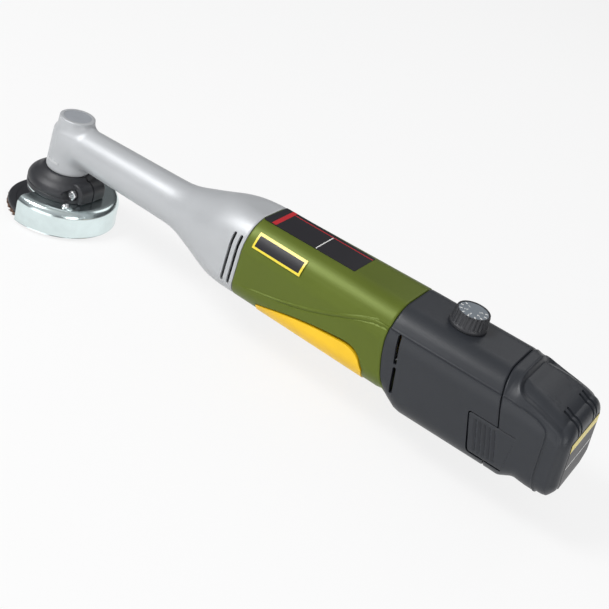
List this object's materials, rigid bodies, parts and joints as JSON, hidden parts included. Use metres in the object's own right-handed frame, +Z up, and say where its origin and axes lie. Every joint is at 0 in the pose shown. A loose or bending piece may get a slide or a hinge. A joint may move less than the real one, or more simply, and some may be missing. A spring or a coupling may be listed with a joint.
{
  "type": "cordless long-neck grinder",
  "caption": "Cordless angle grinder with a long slim neck, a right-angle head with an adjustable guard and a small flap disc, a hold-to-run paddle, a speed dial and a slide-out battery.",
  "frame": {"origin": "On the spindle axis, at the seat of the abrasive disc against its inner flange.", "axes": "+X runs along the neck to the battery, +Z runs up the spindle axis away from the disc, +Y completes a right-handed frame. The middle plane is Y = 0."},
  "size_m": [0.297, 0.0546, 0.0673],
  "materials": {
    "cast_silver": "satin silver-grey paint on a die-cast body",
    "cap_grey": "satin grey",
    "steel": "ground steel",
    "gear_steel": "oiled hardened steel",
    "guard_zinc": "bright zinc plated sheet",
    "bright_screw": "bright plated",
    "black_plastic": "moulded black plastic",
    "abrasive": "brown abrasive cloth",
    "green_plastic": "satin green plastic",
    "charcoal_plastic": "satin charcoal plastic",
    "yellow_plastic": "yellow plastic",
    "can_steel": "plated steel can",
    "magnet": "bare ferrite",
    "copper": "copper and brass",
    "carbon": "pressed carbon",
    "red_plastic": "red plastic",
    "dial_grey": "printed grey face",
    "board_green": "coated circuit board",
    "blue_plastic": "blue sleeve",
    "nickel": "nickel strip",
    "label_black": "printed film"
  },
  "bodies": {
    "housing": {"gear_housing": "cast_silver", "head_cap": "cap_grey", "upper_bearing": "steel", "lower_bearing": "steel", "bearing_retainer": "steel", "front_shaft_bearing": "steel", "rear_shaft_bearing": "steel", "housing_left": "green_plastic", "housing_right": "green_plastic", "rear_housing_left": "charcoal_plastic", "rear_housing_right": "charcoal_plastic", "housing_screws": "steel", "motor_can": "can_steel", "motor_magnets": "magnet", "motor_end_cap": "black_plastic", "motor_brushes": "carbon", "paddle_pins": "steel", "switch_body": "black_plastic", "potentiometer": "blue_plastic", "control_board": "board_green", "power_transistor": "black_plastic", "motor_leads": "red_plastic", "terminal_block": "black_plastic", "terminal_blades": "copper", "top_label": "label_black", "side_badges": "yellow_plastic"},
    "spindle": {"spindle": "steel", "spindle_gear": "gear_steel", "inner_flange": "steel", "disc_backing": "black_plastic", "disc_flaps": "abrasive", "outer_flange": "steel", "disc_screw": "steel"},
    "drive": {"pinion": "gear_steel", "drive_shaft": "steel", "shaft_coupling": "copper", "rotor": "copper", "commutator": "copper", "cooling_fan": "black_plastic"},
    "guard": {"guard": "guard_zinc", "guard_clamp": "black_plastic", "clamp_screw": "bright_screw", "clamp_nut": "bright_screw", "guard_screws": "bright_screw"},
    "dial": {"dial_knob": "black_plastic", "dial_face": "dial_grey", "dial_shaft": "steel"},
    "paddle": {"paddle": "yellow_plastic", "paddle_spring": "steel"},
    "plunger": {"switch_plunger": "red_plastic"},
    "battery": {"battery_case": "charcoal_plastic", "battery_stem": "black_plastic", "battery_cells": "blue_plastic", "cell_strips": "nickel", "protection_board": "board_green", "battery_contacts": "copper", "battery_label": "label_black"},
    "latch_left": {"latch_left": "charcoal_plastic"},
    "latch_right": {"latch_right": "charcoal_plastic"}
  },
  "joints": [
    {"name": "drive_spin", "type": "hinge", "parent": "housing", "child": "drive", "pos_m": [0.06, 0, 0.034], "axis": [1, 0, 0], "continuous": true},
    {"name": "spindle_spin", "type": "hinge", "parent": "housing", "child": "spindle", "pos_m": [0, 0, 0], "axis": [0, 0, 1], "continuous": true},
    {"name": "guard_turn", "type": "hinge", "parent": "housing", "child": "guard", "pos_m": [0, 0, 0.015], "axis": [0, 0, 1], "range_deg": [-120, 120]},
    {"name": "dial_turn", "type": "hinge", "parent": "housing", "child": "dial", "pos_m": [0.2095, 0, 0.055], "axis": [0, 0, 1], "range_deg": [-135, 135]},
    {"name": "paddle_press", "type": "hinge", "parent": "housing", "child": "paddle", "pos_m": [0.131, 0, 0.023], "axis": [0, -1, 0], "range_deg": [0, 1.1], "stiffness_Nm_per_rad": 4, "springref_deg": -1.72, "deforming": ["paddle_spring"]},
    {"name": "plunger_press", "type": "slide", "parent": "housing", "child": "plunger", "axis": [0, 0, 1], "range_m": [0, 0.0009]},
    {"name": "battery_slide", "type": "slide", "parent": "housing", "child": "battery", "axis": [1, 0, 0], "range_m": [0, 0.06]},
    {"name": "latch_left_press", "type": "slide", "parent": "battery", "child": "latch_left", "axis": [0, 1, 0], "range_m": [0, 0.001], "stiffness_N_per_m": 300, "springref_m": -0.002},
    {"name": "latch_right_press", "type": "slide", "parent": "battery", "child": "latch_right", "axis": [0, -1, 0], "range_m": [0, 0.001], "stiffness_N_per_m": 300, "springref_m": -0.002}
  ],
  "couplings": [
    {"joint": "spindle_spin", "follows": "drive_spin", "ratio": 0.625},
    {"joint": "plunger_press", "follows": "paddle_press", "m_per_rad": 0.041}
  ]
}
